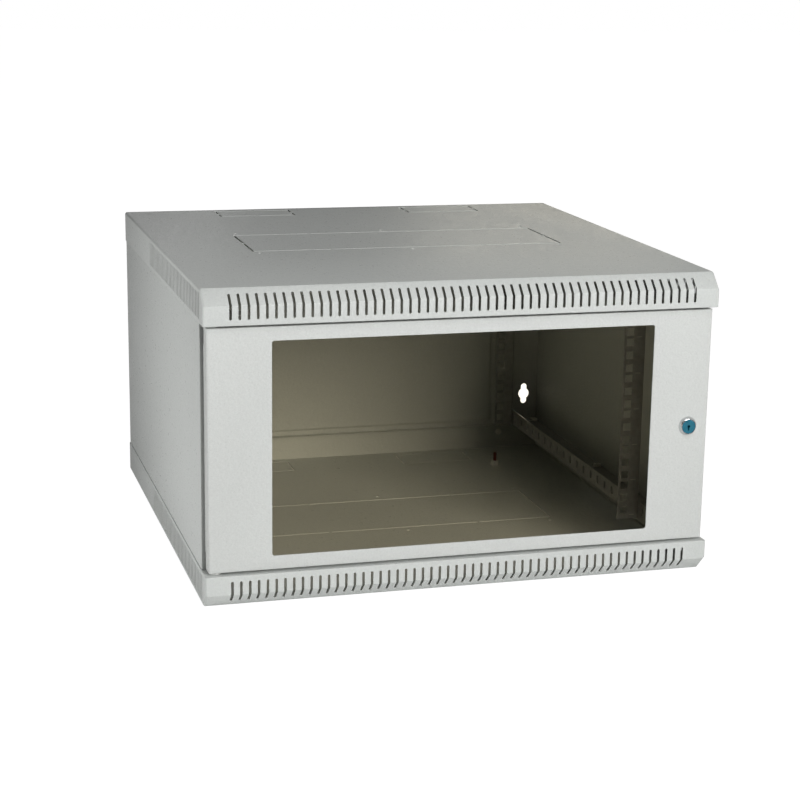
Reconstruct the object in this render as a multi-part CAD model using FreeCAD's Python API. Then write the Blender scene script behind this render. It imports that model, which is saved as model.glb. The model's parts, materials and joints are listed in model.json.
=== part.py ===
"""Wall mount network cabinet, 600 x 600 mm, six rack units, with a glazed front door.

Frame: millimetres, +Z up.  The origin is the middle of the underside.  The door faces -Y, the wall
is at +Y.  Roof and base are the same folded pan, one turned over.  Two side panels stand between
them, depth rails run along the four inner corners, and the 19-inch uprights bolt to those rails.
"""
import FreeCAD, Part
import math
import os

from FreeCAD import Vector

# ---- Overall size -------------------------------------------------------------------------------
width = 600.0
depth = 600.0
height = 360.0
sheet = 1.2                   # steel sheet of the shell and door

# ---- Roof and base pans -------------------------------------------------------------------------
pan_height = 39.0
bevel_run = 18.0              # front bevel, measured rearwards
bevel_rise = 17.0             # front bevel, measured upwards
pan_side_chamfer = 2.0        # bend along the two side edges
pan_corner_chamfer = 1.2      # bend at the two front vertical corners
front_lip = 26.0              # inward returns along the open edge
side_lip = 28.0
rear_lip = 9.0
rear_wall_height = 35.5

vent_width = 3.0              # ventilation slots
vent_pitch = 10.0
front_vent_margin = 30.0      # from the side of the cabinet to the first and last slot
front_vent_below_lip = 6.5
front_vent_on_bevel = 16.5
side_vent_first = 25.0        # from the front face
side_vent_run = 350.0
side_vent_low = 5.5
side_vent_high = 35.0

fan_cover_width = 390.0       # knock-out held by bridges
fan_cover_depth = 124.0
fan_bay_y = 10.0
fan_hole_radius = 2.5
fan_hole_x = 190.0
fan_row_spacing = 152.0
cable_cover_width = 100.0
cable_cover_depth = 46.0
cable_cover_x = 130.0
cable_cover_inset = 40.0      # from the back of the cabinet
slit = 1.0
bridge = 2.5

# ---- Side panels --------------------------------------------------------------------------------
side_inset = 1.0              # behind the side faces of the pans
side_front_setback = 30.0     # from the front face of the pans
side_front_flange = 15.0
side_rear_flange = 68.0
side_seat_flange = 26.0
wall_hole_inset = 22.4        # from the side of the cabinet
wall_hole_end = 80.0          # from the underside and from the top
wall_hole_radius = 8.0
wall_slot_width = 9.0
wall_slot_length = 29.6
tongue_gap = 0.5              # beside the pans' side lips

# ---- Rear panel ---------------------------------------------------------------------------------
rear_panel_lap = 20.0         # over the side flanges
rear_panel_margin = 12.0      # from the top and bottom of the cabinet
rear_field_inset = 5.0        # raised field, inside the frame opening
rear_field_raise = 3.0

# ---- 19-inch uprights and depth rails -----------------------------------------------------------
rack_unit = 44.45
rail_opening = 450.0          # clear width between the uprights
rail_hole_spacing = 465.1     # between the two columns of square holes
rail_hole = 9.5
rail_hole_offsets = (6.35, 22.225, 38.1)
rail_sheet = 1.5
rail_face = 27.0
rail_leg = 24.0
rail_end_gap = 1.45           # above and below an upright
rail_rear_gap = 3.1           # least room behind a rear upright
front_rail_setback = 95.5     # from the front face to the face of the front uprights
depth_rail_pitch = 25.0
rail_fixing = 10.5            # from the face of an upright to its fixing screw
depth_rail_height = 22.0
depth_rail_side_gap = 1.8     # to the side panel
depth_rail_end_gap = 3.8
depth_slot_width = 5.4
depth_slot_height = 10.0
depth_slot_rise = 12.5        # slot centre above the foot of the depth rail

# ---- Door ---------------------------------------------------------------------------------------
door_gap = 3.0                # above and below the door
door_side_gap = 4.5
door_setback = 5.0
door_depth = 20.0
door_corner_chamfer = 1.5
door_border = 71.5            # beside the window
door_border_height = 15.75    # above and below the window
window_corner = 3.0
glass_thickness = 4.0
glass_overlap = 16.0
glass_overlap_height = 12.0
tape_thickness = 1.0
tape_width = 13.0
tape_width_height = 9.0
hinge_notch_height = 20.0
hinge_notch_depth = 3.0

# ---- Hinge --------------------------------------------------------------------------------------
hinge_inset = 9.5             # from the edge of the door to the pin
hinge_pin_radius = 3.0
hinge_fit = 0.05
hinge_bracket = 3.0
hinge_bracket_reach = 16.0
bracket_gap = 1.0             # from the notch in the door's flange
hinge_collar_radius = 6.0
hinge_collar = 1.8
hinge_rivet_radius = 5.0
hinge_washer = 1.1
bottom_pin_reach = 6.0        # into the door
top_pin_reach = 2.5           # above the door's top gap, through the roof lip
top_pin_collar_radius = 4.6
top_pin_collar = 2.0
top_pin_stem_radius = 2.0
spring_length = 12.0
spring_wire = 1.0
spring_radius = 3.6
pin_handle_reach = 13.0
pin_handle_radius = 1.5
pin_handle_gap = 1.0          # under the bracket

# ---- Lock ---------------------------------------------------------------------------------------
lock_inset = 24.5             # from the edge of the door
bezel_radius = 11.25
bezel_front_radius = 8.9
bezel_height = 4.0
barrel_radius = 9.0
barrel_flat = 8.0
barrel_length = 27.0
plug_radius = 6.0
plug_fit = 0.1
plug_head_radius = 8.2
plug_head = 0.95
lock_recess = 1.2
lock_sides = 24
lock_nut_across = 24.0
lock_nut_height = 4.0
cam_thickness = 2.5
cam_width = 14.0
cam_reach = 22.0
cam_square = 7.0
cam_fit = 0.1
cam_screw_depth = 7.0
key_radius = 1.7              # round of the key hole and the blade slot below it
key_blade = 1.4
key_reach = 4.6
key_depth = 6.0

# ---- Fasteners ----------------------------------------------------------------------------------
m6_radius = 2.9
m6_clearance = 3.3
m6_head = 3.6
m6_nut_across = 10.0
m6_nut = 5.0
m5_radius = 2.4
m5_clearance = 2.7
m5_head_radius = 4.4
m5_head = 3.0
m5_nut_across = 8.0
m5_nut = 4.0
thread_end = 1.5              # screw thread beyond its nut
thread_fit = 0.05
body_screw_inset = 6.2        # from the outer edge of the depth rail
body_screw_front = 70.0       # from the front of the cabinet
body_screw_rear = 15.0        # from the back
rear_screw_inset = 9.0        # from the inner edge of the side panel's rear flange
rear_screw_height = 24.0
ground_stud_inset = 96.0      # from the side and from the back
ground_stud_height = 18.0
ground_washer = 1.6
ground_washer_radius = 6.0

# ---- Places that follow from the sizes ----------------------------------------------------------
bevel_length = math.hypot(bevel_run, bevel_rise)
chamfer_shrink = 2 - math.sqrt(2.0)             # keeps an even wall across a 45 degree chamfer
same_place = 0.01                               # edges this close lie on the same face
front = -depth / 2
rear = depth / 2
shell_rear = rear - sheet                       # back faces of pans and side panels
side_face = width / 2 - side_inset
side_inner = side_face - sheet
seat = pan_height + sheet                       # top of the side panel's lower flange
side_front = front + side_front_setback
rail_base = seat + rail_sheet                   # top of the depth rail's flange
frame_edge = side_face - side_rear_flange       # inner edge of the side panels' rear flange
mid_height = height / 2
depth_face = rail_opening / 2 + rail_face       # inner face of the depth rails
depth_rail_edge = side_inner - depth_rail_side_gap
front_rail_y = front + front_rail_setback
rail_room = shell_rear - sheet - rail_rear_gap - rail_leg - front_rail_y
rail_bays = int(rail_room / depth_rail_pitch + same_place)
rear_rail_y = front_rail_y + rail_bays * depth_rail_pitch
rack_units = int((height - 2 * seat) / rack_unit)
rack_low = mid_height - rack_units * rack_unit / 2
fixing_z = seat + depth_slot_rise
body_screw_x = depth_rail_edge - body_screw_inset
body_screw_rows = (front + body_screw_front, (body_screw_front - body_screw_rear) / 2,
                   rear - body_screw_rear)
rear_screw_x = frame_edge + rear_screw_inset
door_front = front + door_setback
door_rear = door_front + door_depth
door_half = width / 2 - door_side_gap
door_low = pan_height + door_gap
door_high = height - pan_height - door_gap
window_half = door_half - door_border
window_low = door_low + door_border_height
window_high = door_high - door_border_height
hinge_x = -door_half + hinge_inset
hinge_y = door_front + door_depth / 2
lock_x = door_half - lock_inset


# ---- Helpers ------------------------------------------------------------------------------------
def block(x_low, x_high, y_low, y_high, z_low, z_high):
    """Box between two corners."""
    size = (x_high - x_low, y_high - y_low, z_high - z_low)
    return Part.makeBox(*size, Vector(x_low, y_low, z_low))


def rod(radius, start, end):
    """Cylinder between two points."""
    axis = Vector(*end) - Vector(*start)
    return Part.makeCylinder(radius, axis.Length, Vector(*start), axis)


def prism(points, direction):
    """Solid swept from a closed outline of points along a direction."""
    corners = [Vector(point) for point in points]
    face = Part.Face(Part.makePolygon(corners + corners[:1]))
    return face.extrude(Vector(direction))


def bar(radius, start, end, sides):
    """Regular prism between two points along X, Y or Z; its corners lie on the given radius."""
    along = Vector(*end) - Vector(*start)
    axis = [abs(along.x), abs(along.y), abs(along.z)].index(along.Length)
    outline = []
    for corner in range(sides):
        first = radius * math.cos(2 * math.pi * corner / sides)
        second = radius * math.sin(2 * math.pi * corner / sides)
        offset = ((0, first, second), (first, 0, second), (first, second, 0))[axis]
        outline.append(tuple(Vector(*start) + Vector(*offset)))
    return prism(outline, along)


def shank(radius, start, end):
    """Threaded shank, or the hole for one: six sides stand for the thread."""
    return bar(radius, start, end, 6)


def hexagon(across, start, end):
    """Hexagonal head or nut with the given width across its flats."""
    return bar(across / math.sqrt(3.0), start, end, 6)


def pan_head(start, end):
    """Round head of an M5 screw, in eight sides."""
    return bar(m5_head_radius, start, end, 8)


def mirrored_x(shape):
    """The same shape on the other side of the cabinet."""
    return shape.mirror(Vector(0, 0, 0), Vector(1, 0, 0))


def turned_over(shape):
    """The same shape at the other end of the cabinet's height."""
    return shape.mirror(Vector(0, 0, mid_height), Vector(0, 0, 1))


def save(name, *solids):
    """Write one named node from its separate solids."""
    shape = solids[0] if len(solids) == 1 else Part.makeCompound(list(solids))
    shape.exportStep("parts/" + name + ".step")


# ---- Roof and base ------------------------------------------------------------------------------
def pan_block(inset, top):
    """Outer form of a pan, drawn in by a wall thickness: a box with a bevelled front edge.

    Every face moves inwards by the same distance, so two of these leave an even wall.
    """
    y_front = front + inset
    fold_z = bevel_rise * (1 - inset / bevel_run) + inset * bevel_length / bevel_run
    toe_y = front + bevel_run * (1 - inset / bevel_rise) + inset * bevel_length / bevel_rise
    half = width / 2 - inset
    y_rear = shell_rear - inset
    profile = ((-half, y_front, top), (-half, y_front, fold_z), (-half, toe_y, inset),
               (-half, y_rear, inset), (-half, y_rear, top))
    solid = prism(profile, (2 * half, 0, 0))
    shrink = inset * chamfer_shrink
    lower = [edge for edge in side_edges(solid, half)
             if all(vertex.Z < fold_z + same_place for vertex in edge.Vertexes)]
    solid = solid.makeChamfer(pan_side_chamfer - shrink, lower)
    corners = [edge for edge in side_edges(solid, half)
               if all(abs(vertex.Y - y_front) < same_place for vertex in edge.Vertexes)]
    return solid.makeChamfer(pan_corner_chamfer - shrink, corners)


def side_edges(solid, half):
    """Edges that lie wholly on one of a form's two side faces."""
    edges = []
    for edge in solid.Edges:
        sides = [vertex.X for vertex in edge.Vertexes]
        on_side = all(abs(abs(x) - half) < same_place for x in sides)
        if on_side and abs(sides[0] - sides[-1]) < half:
            edges.append(edge)
    return edges


def front_vent(x):
    """Cutter for one front slot: down the front face, over the fold and along the bevel."""
    reach = 3 * sheet
    top = pan_height - front_vent_below_lip
    # The bevel's own directions: along it, and in through it.
    along = Vector(0, bevel_run, -bevel_rise) / bevel_length
    inward = Vector(0, bevel_rise, bevel_run) / bevel_length
    left = x - vent_width / 2
    fold = Vector(left, front, bevel_rise)
    end = fold + along * front_vent_on_bevel
    # Past the sheet, both planes are followed to where they meet.
    corner = reach * (bevel_length - bevel_run) / bevel_rise
    outline = (Vector(left, front - reach, top), Vector(left, front - reach, bevel_rise - corner),
               end - inward * reach, end + inward * reach,
               Vector(left, front + reach, bevel_rise + corner), Vector(left, front + reach, top))
    return prism(outline, (vent_width, 0, 0))


def side_vents():
    """Cutters for the slots in both side walls."""
    cutters = []
    for index in range(round(side_vent_run / vent_pitch) + 1):
        y = front + side_vent_first + index * vent_pitch
        cutters.append(block(-width, width, y - vent_width / 2, y + vent_width / 2,
                             side_vent_low, side_vent_high))
    return cutters


def knock_out(x, y, size_x, size_y, long_bridges):
    """Slits round a knock-out, broken by bridges: some along each long side, one on each short."""
    cutters = []
    for side in (-1, 1):
        edges = [-size_x / 2] + [size_x * (share - 0.5) for share in long_bridges] + [size_x / 2]
        for start, end in zip(edges[:-1], edges[1:]):
            left = x + start + (bridge / 2 if start > -size_x / 2 else -slit / 2)
            right = x + end - (bridge / 2 if end < size_x / 2 else -slit / 2)
            y_line = y + side * size_y / 2
            cutters.append(block(left, right, y_line - slit / 2, y_line + slit / 2, -sheet, 2 * sheet))
        x_line = x + side * size_x / 2
        for end in (-1, 1):
            near = y + end * bridge / 2
            far = y + end * (size_y - slit) / 2
            cutters.append(block(x_line - slit / 2, x_line + slit / 2, min(near, far), max(near, far),
                                 -sheet, 2 * sheet))
    return cutters


def pan():
    """The base pan, open upwards, with every slot, knock-out and fixing hole."""
    mouth_half = width / 2 - side_lip
    mouth_rear = shell_rear - sheet - rear_lip
    mouth = block(-mouth_half, mouth_half, front + front_lip, mouth_rear, pan_height / 2, 2 * pan_height)
    shell = pan_block(0.0, pan_height).cut([pan_block(sheet, pan_height - sheet), mouth])
    # Between the side lips the rear wall stands lower, with its own lip.
    low_rear = block(-mouth_half, mouth_half, mouth_rear, shell_rear + sheet, rear_wall_height,
                     2 * pan_height)
    lip = block(-mouth_half, mouth_half, mouth_rear, shell_rear, rear_wall_height - sheet,
                rear_wall_height)
    shell = shell.cut(low_rear).fuse(lip)

    vents = round((width - 2 * front_vent_margin) / vent_pitch) + 1
    cutters = side_vents()
    for index in range(vents):
        cutters.append(front_vent((index - (vents - 1) / 2) * vent_pitch))
    cutters += knock_out(0, fan_bay_y, fan_cover_width, fan_cover_depth, (0.25, 0.75))
    for x in (-fan_hole_x, 0, fan_hole_x):
        for y in (fan_bay_y - fan_row_spacing / 2, fan_bay_y + fan_row_spacing / 2):
            cutters.append(rod(fan_hole_radius, (x, y, -sheet), (x, y, 2 * sheet)))
    lip_low = pan_height - 2 * sheet
    lip_high = pan_height + sheet
    for side in (-1, 1):
        cutters += knock_out(side * cable_cover_x, rear - cable_cover_inset, cable_cover_width,
                             cable_cover_depth, (0.5,))
        for y in body_screw_rows:
            x = side * body_screw_x
            cutters.append(shank(m6_clearance, (x, y, lip_low), (x, y, lip_high)))
        x = side * rear_screw_x
        cutters.append(shank(m5_clearance, (x, shell_rear - 2 * sheet, rear_screw_height),
                            (x, rear, rear_screw_height)))
        # Hinge holes at both front corners, so the door can hang on either side.
        x = side * hinge_x
        cutters.append(rod(hinge_pin_radius + hinge_fit, (x, hinge_y, lip_low), (x, hinge_y, lip_high)))
    return shell.cut(Part.makeCompound(cutters))


# ---- Side and rear panels -----------------------------------------------------------------------
def wall_hole_cutter(x, z):
    """Double keyhole: a round entry with a hanging slot above and below."""
    reach = 3 * sheet
    y_low = shell_rear - reach
    y_high = shell_rear + reach
    half = wall_slot_width / 2
    end = wall_slot_length / 2 - half
    entry = rod(wall_hole_radius, (x, y_low, z), (x, y_high, z))
    slots = block(x - half, x + half, y_low, y_high, z - end, z + end)
    ends = [rod(half, (x, y_low, z + side * end), (x, y_high, z + side * end)) for side in (-1, 1)]
    return entry.fuse([slots] + ends)


def side_panel():
    """Right side panel: one sheet with four inward flanges, hung on the wall by its rear flange."""
    z_low = pan_height
    z_high = height - pan_height
    wall = block(side_inner, side_face, side_front, shell_rear, z_low, z_high)
    front_flange = block(side_face - side_front_flange, side_face, side_front, side_front + sheet,
                         z_low, z_high)
    y_flange = shell_rear - sheet
    rear_flange = block(frame_edge, side_face, y_flange, shell_rear, z_low, z_high)
    # Between the side lips of the pans the rear flange reaches down to their lower rear walls.
    tongue = block(frame_edge, width / 2 - side_lip - tongue_gap, y_flange, shell_rear,
                   rear_wall_height, height - rear_wall_height)
    bottom = block(side_face - side_seat_flange, side_face, side_front, shell_rear, z_low, z_low + sheet)
    top = turned_over(bottom)
    panel = wall.fuse([front_flange, rear_flange, tongue, bottom, top])
    cutters = []
    for y in body_screw_rows:
        cutters.append(shank(m6_clearance, (body_screw_x, y, z_low - sheet),
                            (body_screw_x, y, z_low + 3 * sheet)))
        cutters.append(turned_over(cutters[-1]))
    for z in (wall_hole_end, height - wall_hole_end):
        cutters.append(wall_hole_cutter(width / 2 - wall_hole_inset, z))
    cutters.append(shank(m5_clearance, (rear_screw_x, y_flange - sheet, mid_height),
                        (rear_screw_x, rear, mid_height)))
    return panel.cut(Part.makeCompound(cutters)).removeSplitter()


def field_form(y_wide, y_narrow):
    """Four-sided form of the rear panel's field: it narrows by as much as it is raised."""
    half = frame_edge - rear_field_inset
    low = pan_height + rear_field_inset / 2
    wires = []
    for y, inset in ((y_wide, 0.0), (y_narrow, rear_field_raise)):
        outline = [Vector(-half + inset, y, low + inset),
                   Vector(half - inset, y, low + inset),
                   Vector(half - inset, y, height - low - inset),
                   Vector(-half + inset, y, height - low - inset)]
        wires.append(Part.makePolygon(outline + outline[:1]))
    return Part.makeLoft(wires, True, True)


def rear_panel():
    """Rear panel: a flat border that laps the frame from behind, and a field pressed inwards."""
    half = frame_edge + rear_panel_lap
    plate = block(-half, half, shell_rear, rear, rear_panel_margin, height - rear_panel_margin)
    raised = field_form(shell_rear, shell_rear - rear_field_raise)
    hollow = field_form(rear, rear - rear_field_raise)
    plate = plate.fuse(raised).cut(hollow)
    cutters = []
    for x, z in rear_screw_places():
        cutters.append(shank(m5_radius + thread_fit, (x, shell_rear - 1, z), (x, rear + 1, z)))
    return plate.cut(Part.makeCompound(cutters)).removeSplitter()


def rear_screw_places():
    """Where the rear panel is screwed: four corners and the middle of each upright edge."""
    heights = (rear_screw_height, mid_height, height - rear_screw_height)
    return [(side * rear_screw_x, z) for side in (-1, 1) for z in heights]


# ---- Rails --------------------------------------------------------------------------------------
def upright(y_face):
    """Right-hand 19-inch upright: a face with square holes and a leg that runs rearwards."""
    x_low = rail_opening / 2
    x_high = x_low + rail_face
    z_low = seat + rail_end_gap
    z_high = height - z_low
    face = block(x_low, x_high, y_face, y_face + rail_sheet, z_low, z_high)
    leg = block(x_high - rail_sheet, x_high, y_face, y_face + rail_leg, z_low, z_high)
    rail = face.fuse(leg).removeSplitter()
    cutters = []
    half = rail_hole / 2
    x = rail_hole_spacing / 2
    for unit in range(rack_units):
        for offset in rail_hole_offsets:
            z = rack_low + unit * rack_unit + offset
            cutters.append(block(x - half, x + half, y_face - 1, y_face + rail_sheet + 1,
                                 z - half, z + half))
    for z in (fixing_z, height - fixing_z):
        y = y_face + rail_fixing
        cutters.append(shank(m5_clearance, (x_high - 2 * rail_sheet, y, z), (x_high + 1, y, z)))
    return rail.cut(Part.makeCompound(cutters))


def depth_rail():
    """Lower right depth rail: a slotted face and a flange bolted down on the side panel's seat."""
    y_low = side_front + sheet + depth_rail_end_gap
    y_high = shell_rear - sheet - depth_rail_end_gap
    face = block(depth_face, depth_face + rail_sheet, y_low, y_high, seat, seat + depth_rail_height)
    flange = block(depth_face, depth_rail_edge, y_low, y_high, seat, rail_base)
    rail = face.fuse(flange).removeSplitter()
    first = front_rail_y + rail_fixing
    steps_forward = int((first - y_low - depth_slot_width) / depth_rail_pitch)
    steps_back = int((y_high - depth_slot_width - first) / depth_rail_pitch)
    cutters = []
    for step in range(-steps_forward, steps_back + 1):
        y = first + step * depth_rail_pitch
        cutters.append(block(depth_face - 1, depth_face + rail_sheet + 1, y - depth_slot_width / 2,
                             y + depth_slot_width / 2, fixing_z - depth_slot_height / 2,
                             fixing_z + depth_slot_height / 2))
    for y in body_screw_rows:
        cutters.append(shank(m6_clearance, (body_screw_x, y, seat - 1), (body_screw_x, y, rail_base + 1)))
    return rail.cut(Part.makeCompound(cutters))


# ---- Fasteners ----------------------------------------------------------------------------------
def body_screws():
    """Screw and nut of each joint between pan, side panel and depth rail: two lists of solids."""
    grip = rail_base - (pan_height - sheet)
    screws, nuts = [], []
    for y in body_screw_rows:
        low = rail_base - grip
        tip = low - m6_nut - thread_end
        head = hexagon(m6_nut_across, (body_screw_x, y, rail_base), (body_screw_x, y, rail_base + m6_head))
        thread = shank(m6_radius, (body_screw_x, y, tip), (body_screw_x, y, rail_base))
        nut = hexagon(m6_nut_across, (body_screw_x, y, low - m6_nut), (body_screw_x, y, low))
        bore = shank(m6_radius + thread_fit, (body_screw_x, y, tip), (body_screw_x, y, low + 1))
        screws.append(head.fuse(thread))
        nuts.append(nut.cut(bore))
    return everywhere(screws), everywhere(nuts)


def rail_screws():
    """Screw and nut at each end of every upright: two lists of solids."""
    screws, nuts = [], []
    leg_inner = depth_face - rail_sheet
    nut_seat = depth_face + rail_sheet
    for y_face in (front_rail_y, rear_rail_y):
        y = y_face + rail_fixing
        tip = nut_seat + m5_nut + thread_end
        head = pan_head((leg_inner - m5_head, y, fixing_z), (leg_inner, y, fixing_z))
        thread = shank(m5_radius, (leg_inner, y, fixing_z), (tip, y, fixing_z))
        nut = hexagon(m5_nut_across, (nut_seat, y, fixing_z), (nut_seat + m5_nut, y, fixing_z))
        bore = shank(m5_radius + thread_fit, (nut_seat - 1, y, fixing_z), (tip, y, fixing_z))
        screws.append(head.fuse(thread))
        nuts.append(nut.cut(bore))
    return everywhere(screws), everywhere(nuts)


def everywhere(solids):
    """Repeat solids of the lower right corner at all four corners."""
    right = solids + [turned_over(solid) for solid in solids]
    return right + [mirrored_x(solid) for solid in right]


def rear_screws():
    """Screws that hold the rear panel, driven from inside the cabinet."""
    screws = []
    seat_y = shell_rear - sheet
    for x, z in rear_screw_places():
        head = pan_head((x, seat_y - m5_head, z), (x, seat_y, z))
        thread = shank(m5_radius, (x, seat_y, z), (x, rear, z))
        screws.append(head.fuse(thread))
    return screws


# ---- Ground stud --------------------------------------------------------------------------------
def save_ground_point():
    """Threaded stud welded to the floor, with its washer and nut."""
    x = width / 2 - ground_stud_inset
    y = rear - ground_stud_inset
    washer_top = sheet + ground_washer
    save("ground_stud", shank(m6_radius, (x, y, sheet), (x, y, sheet + ground_stud_height)))
    washer = bar(ground_washer_radius, (x, y, sheet), (x, y, washer_top), 16)
    nut = hexagon(m6_nut_across, (x, y, washer_top), (x, y, washer_top + m6_nut))
    bore = shank(m6_radius + thread_fit, (x, y, 0), (x, y, washer_top + 2 * m6_nut))
    save("ground_washer", washer.cut(bore))
    save("ground_nut", nut.cut(bore))


# ---- Door ---------------------------------------------------------------------------------------
def door_shell():
    """Folded door: a front sheet with a glazed opening and a return flange on all four sides."""
    outer = door_block(0.0)
    inner = door_block(sheet)
    window = block(-window_half, window_half, door_front - 1, door_front + 2 * sheet,
                   window_low, window_high)
    corners = [edge for edge in window.Edges if edge.Length < 2 + 2 * sheet]
    window = window.makeFillet(window_corner, corners)
    shell = outer.cut([inner, window])
    cutters = [barrel_section(plug_fit, door_front - 1, door_front + 2 * sheet)]
    cutters.append(rod(hinge_pin_radius + 3 * hinge_fit, (hinge_x, hinge_y, door_low - 1),
                       (hinge_x, hinge_y, door_high + 1)))
    for z_low, z_high in ((door_low - 1, door_low + hinge_notch_height),
                          (door_high - hinge_notch_height, door_high + 1)):
        cutters.append(block(-door_half - 1, -door_half + 2 * sheet, door_rear - hinge_notch_depth,
                             door_rear + 1, z_low, z_high))
    return shell.cut(cutters)


def door_block(inset):
    """Door outline drawn in by a wall thickness, with chamfered upright front edges."""
    half = door_half - inset
    y_front = door_front + inset
    leg = door_corner_chamfer - inset * chamfer_shrink
    y_rear = door_rear + inset
    outline = ((-half + leg, y_front, door_low + inset), (half - leg, y_front, door_low + inset),
               (half, y_front + leg, door_low + inset), (half, y_rear, door_low + inset),
               (-half, y_rear, door_low + inset), (-half, y_front + leg, door_low + inset))
    return prism(outline, (0, 0, door_high - door_low - 2 * inset))


def save_glazing():
    """Tinted glass and the tape that bonds it behind the door's opening."""
    tape_y = door_front + sheet
    glass_y = tape_y + tape_thickness
    half = window_half + glass_overlap
    low = window_low - glass_overlap_height
    high = window_high + glass_overlap_height
    tape = block(-half, half, tape_y, glass_y, low, high)
    gap = block(-half + tape_width, half - tape_width, tape_y - 1, glass_y + 1,
                low + tape_width_height, high - tape_width_height)
    save("door_tape", tape.cut(gap))
    save("door_glass", block(-half, half, glass_y, glass_y + glass_thickness, low, high))


# ---- Hinge --------------------------------------------------------------------------------------
def pin_hole(radius):
    """Cutter along the hinge axis through the whole door."""
    return rod(radius, (hinge_x, hinge_y, door_low - 5), (hinge_x, hinge_y, door_high + 5))


def bracket_plate(z_low, z_high):
    """Level plate across the corner of the door, between its front sheet and side flange."""
    x_low = -door_half + sheet
    x_high = x_low + hinge_bracket_reach
    y_low = door_front + sheet
    y_high = door_rear - hinge_notch_depth - bracket_gap
    # The corner that points into the door's own chamfered corner is cut off.
    outline = ((x_low + door_corner_chamfer, y_low, z_low), (x_high, y_low, z_low),
               (x_high, y_high, z_low), (x_low, y_high, z_low),
               (x_low, y_low + door_corner_chamfer, z_low))
    return prism(outline, (0, 0, z_high - z_low))


def save_hinges():
    """Fixed lower pin, sprung upper pin and the two door brackets they turn in."""
    x, y = hinge_x, hinge_y
    fit_radius = hinge_pin_radius + hinge_fit
    low = door_low + sheet
    high = door_high - sheet
    save("hinge_bracket_bottom", bracket_plate(low, low + hinge_bracket).cut(pin_hole(fit_radius)))

    lip_low = pan_height - sheet
    collar_top = pan_height + hinge_collar
    pin = rod(hinge_pin_radius, (x, y, lip_low), (x, y, door_low + bottom_pin_reach))
    rivet = bar(hinge_rivet_radius, (x, y, lip_low - hinge_collar), (x, y, lip_low), 16)
    collar = bar(hinge_collar_radius, (x, y, pan_height), (x, y, collar_top), 16)
    save("hinge_pin_bottom", pin.fuse([rivet, collar]))
    washer_top = collar_top + hinge_washer
    washer = bar(hinge_collar_radius, (x, y, collar_top), (x, y, washer_top), 16)
    washer_hole = bar(hinge_pin_radius + 4 * hinge_fit, (x, y, collar_top - 1), (x, y, washer_top + 1), 16)
    save("hinge_washer", washer.cut(washer_hole))

    plate_low = high - hinge_bracket
    collar_low = plate_low - top_pin_collar
    spring_low = collar_low - spring_length
    foot = spring_low - hinge_bracket
    x_low = -door_half + sheet
    back = block(x_low, x_low + hinge_bracket / 2, door_front + sheet + door_corner_chamfer,
                 door_rear - hinge_notch_depth - bracket_gap, foot, high)
    upper = bracket_plate(plate_low, high).cut(pin_hole(fit_radius))
    stem_hole = bar(top_pin_stem_radius + hinge_fit, (x, y, foot - 1), (x, y, spring_low + 1), 8)
    lower = bracket_plate(foot, spring_low).cut(stem_hole)
    save("hinge_bracket_top", upper.fuse([back, lower]).removeSplitter())

    top = height - pan_height + sheet + top_pin_reach
    pin = rod(hinge_pin_radius, (x, y, plate_low), (x, y, top))
    collar = bar(top_pin_collar_radius, (x, y, collar_low), (x, y, plate_low), 8)
    handle_z = foot - pin_handle_gap - 2 * pin_handle_radius
    stem = bar(top_pin_stem_radius, (x, y, handle_z), (x, y, collar_low), 8)
    handle_z += pin_handle_radius
    handle = bar(pin_handle_radius, (x, y, handle_z), (x + pin_handle_reach, y, handle_z), 8)
    save("hinge_pin_top", pin.fuse([collar, stem, handle]))
    # The coil is drawn as a sleeve as thick as its wire.
    coil = bar(spring_radius + spring_wire / 2, (x, y, spring_low), (x, y, collar_low), 8)
    inside = bar(spring_radius - spring_wire / 2, (x, y, spring_low - 1), (x, y, collar_low + 1), 8)
    save("hinge_spring", coil.cut(inside))


# ---- Lock ---------------------------------------------------------------------------------------
def barrel_section(clearance, y_low, y_high):
    """Round barrel with two flats that keep it from turning in the door."""
    barrel = along_lock(barrel_radius + clearance, y_low, y_high)
    flat = barrel_flat + clearance
    return barrel.common(block(lock_x - bezel_radius, lock_x + bezel_radius, y_low, y_high,
                               mid_height - flat, mid_height + flat))


def along_lock(radius, y_low, y_high):
    """Turned form on the lock's axis, in flats."""
    return bar(radius, (lock_x, y_low, mid_height), (lock_x, y_high, mid_height), lock_sides)


def lock_spindle(radius, y_low, y_high):
    """Cylinder on the lock's axis: the plug's spindle and the bore that it turns in."""
    return rod(radius, (lock_x, y_low, mid_height), (lock_x, y_high, mid_height))


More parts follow.
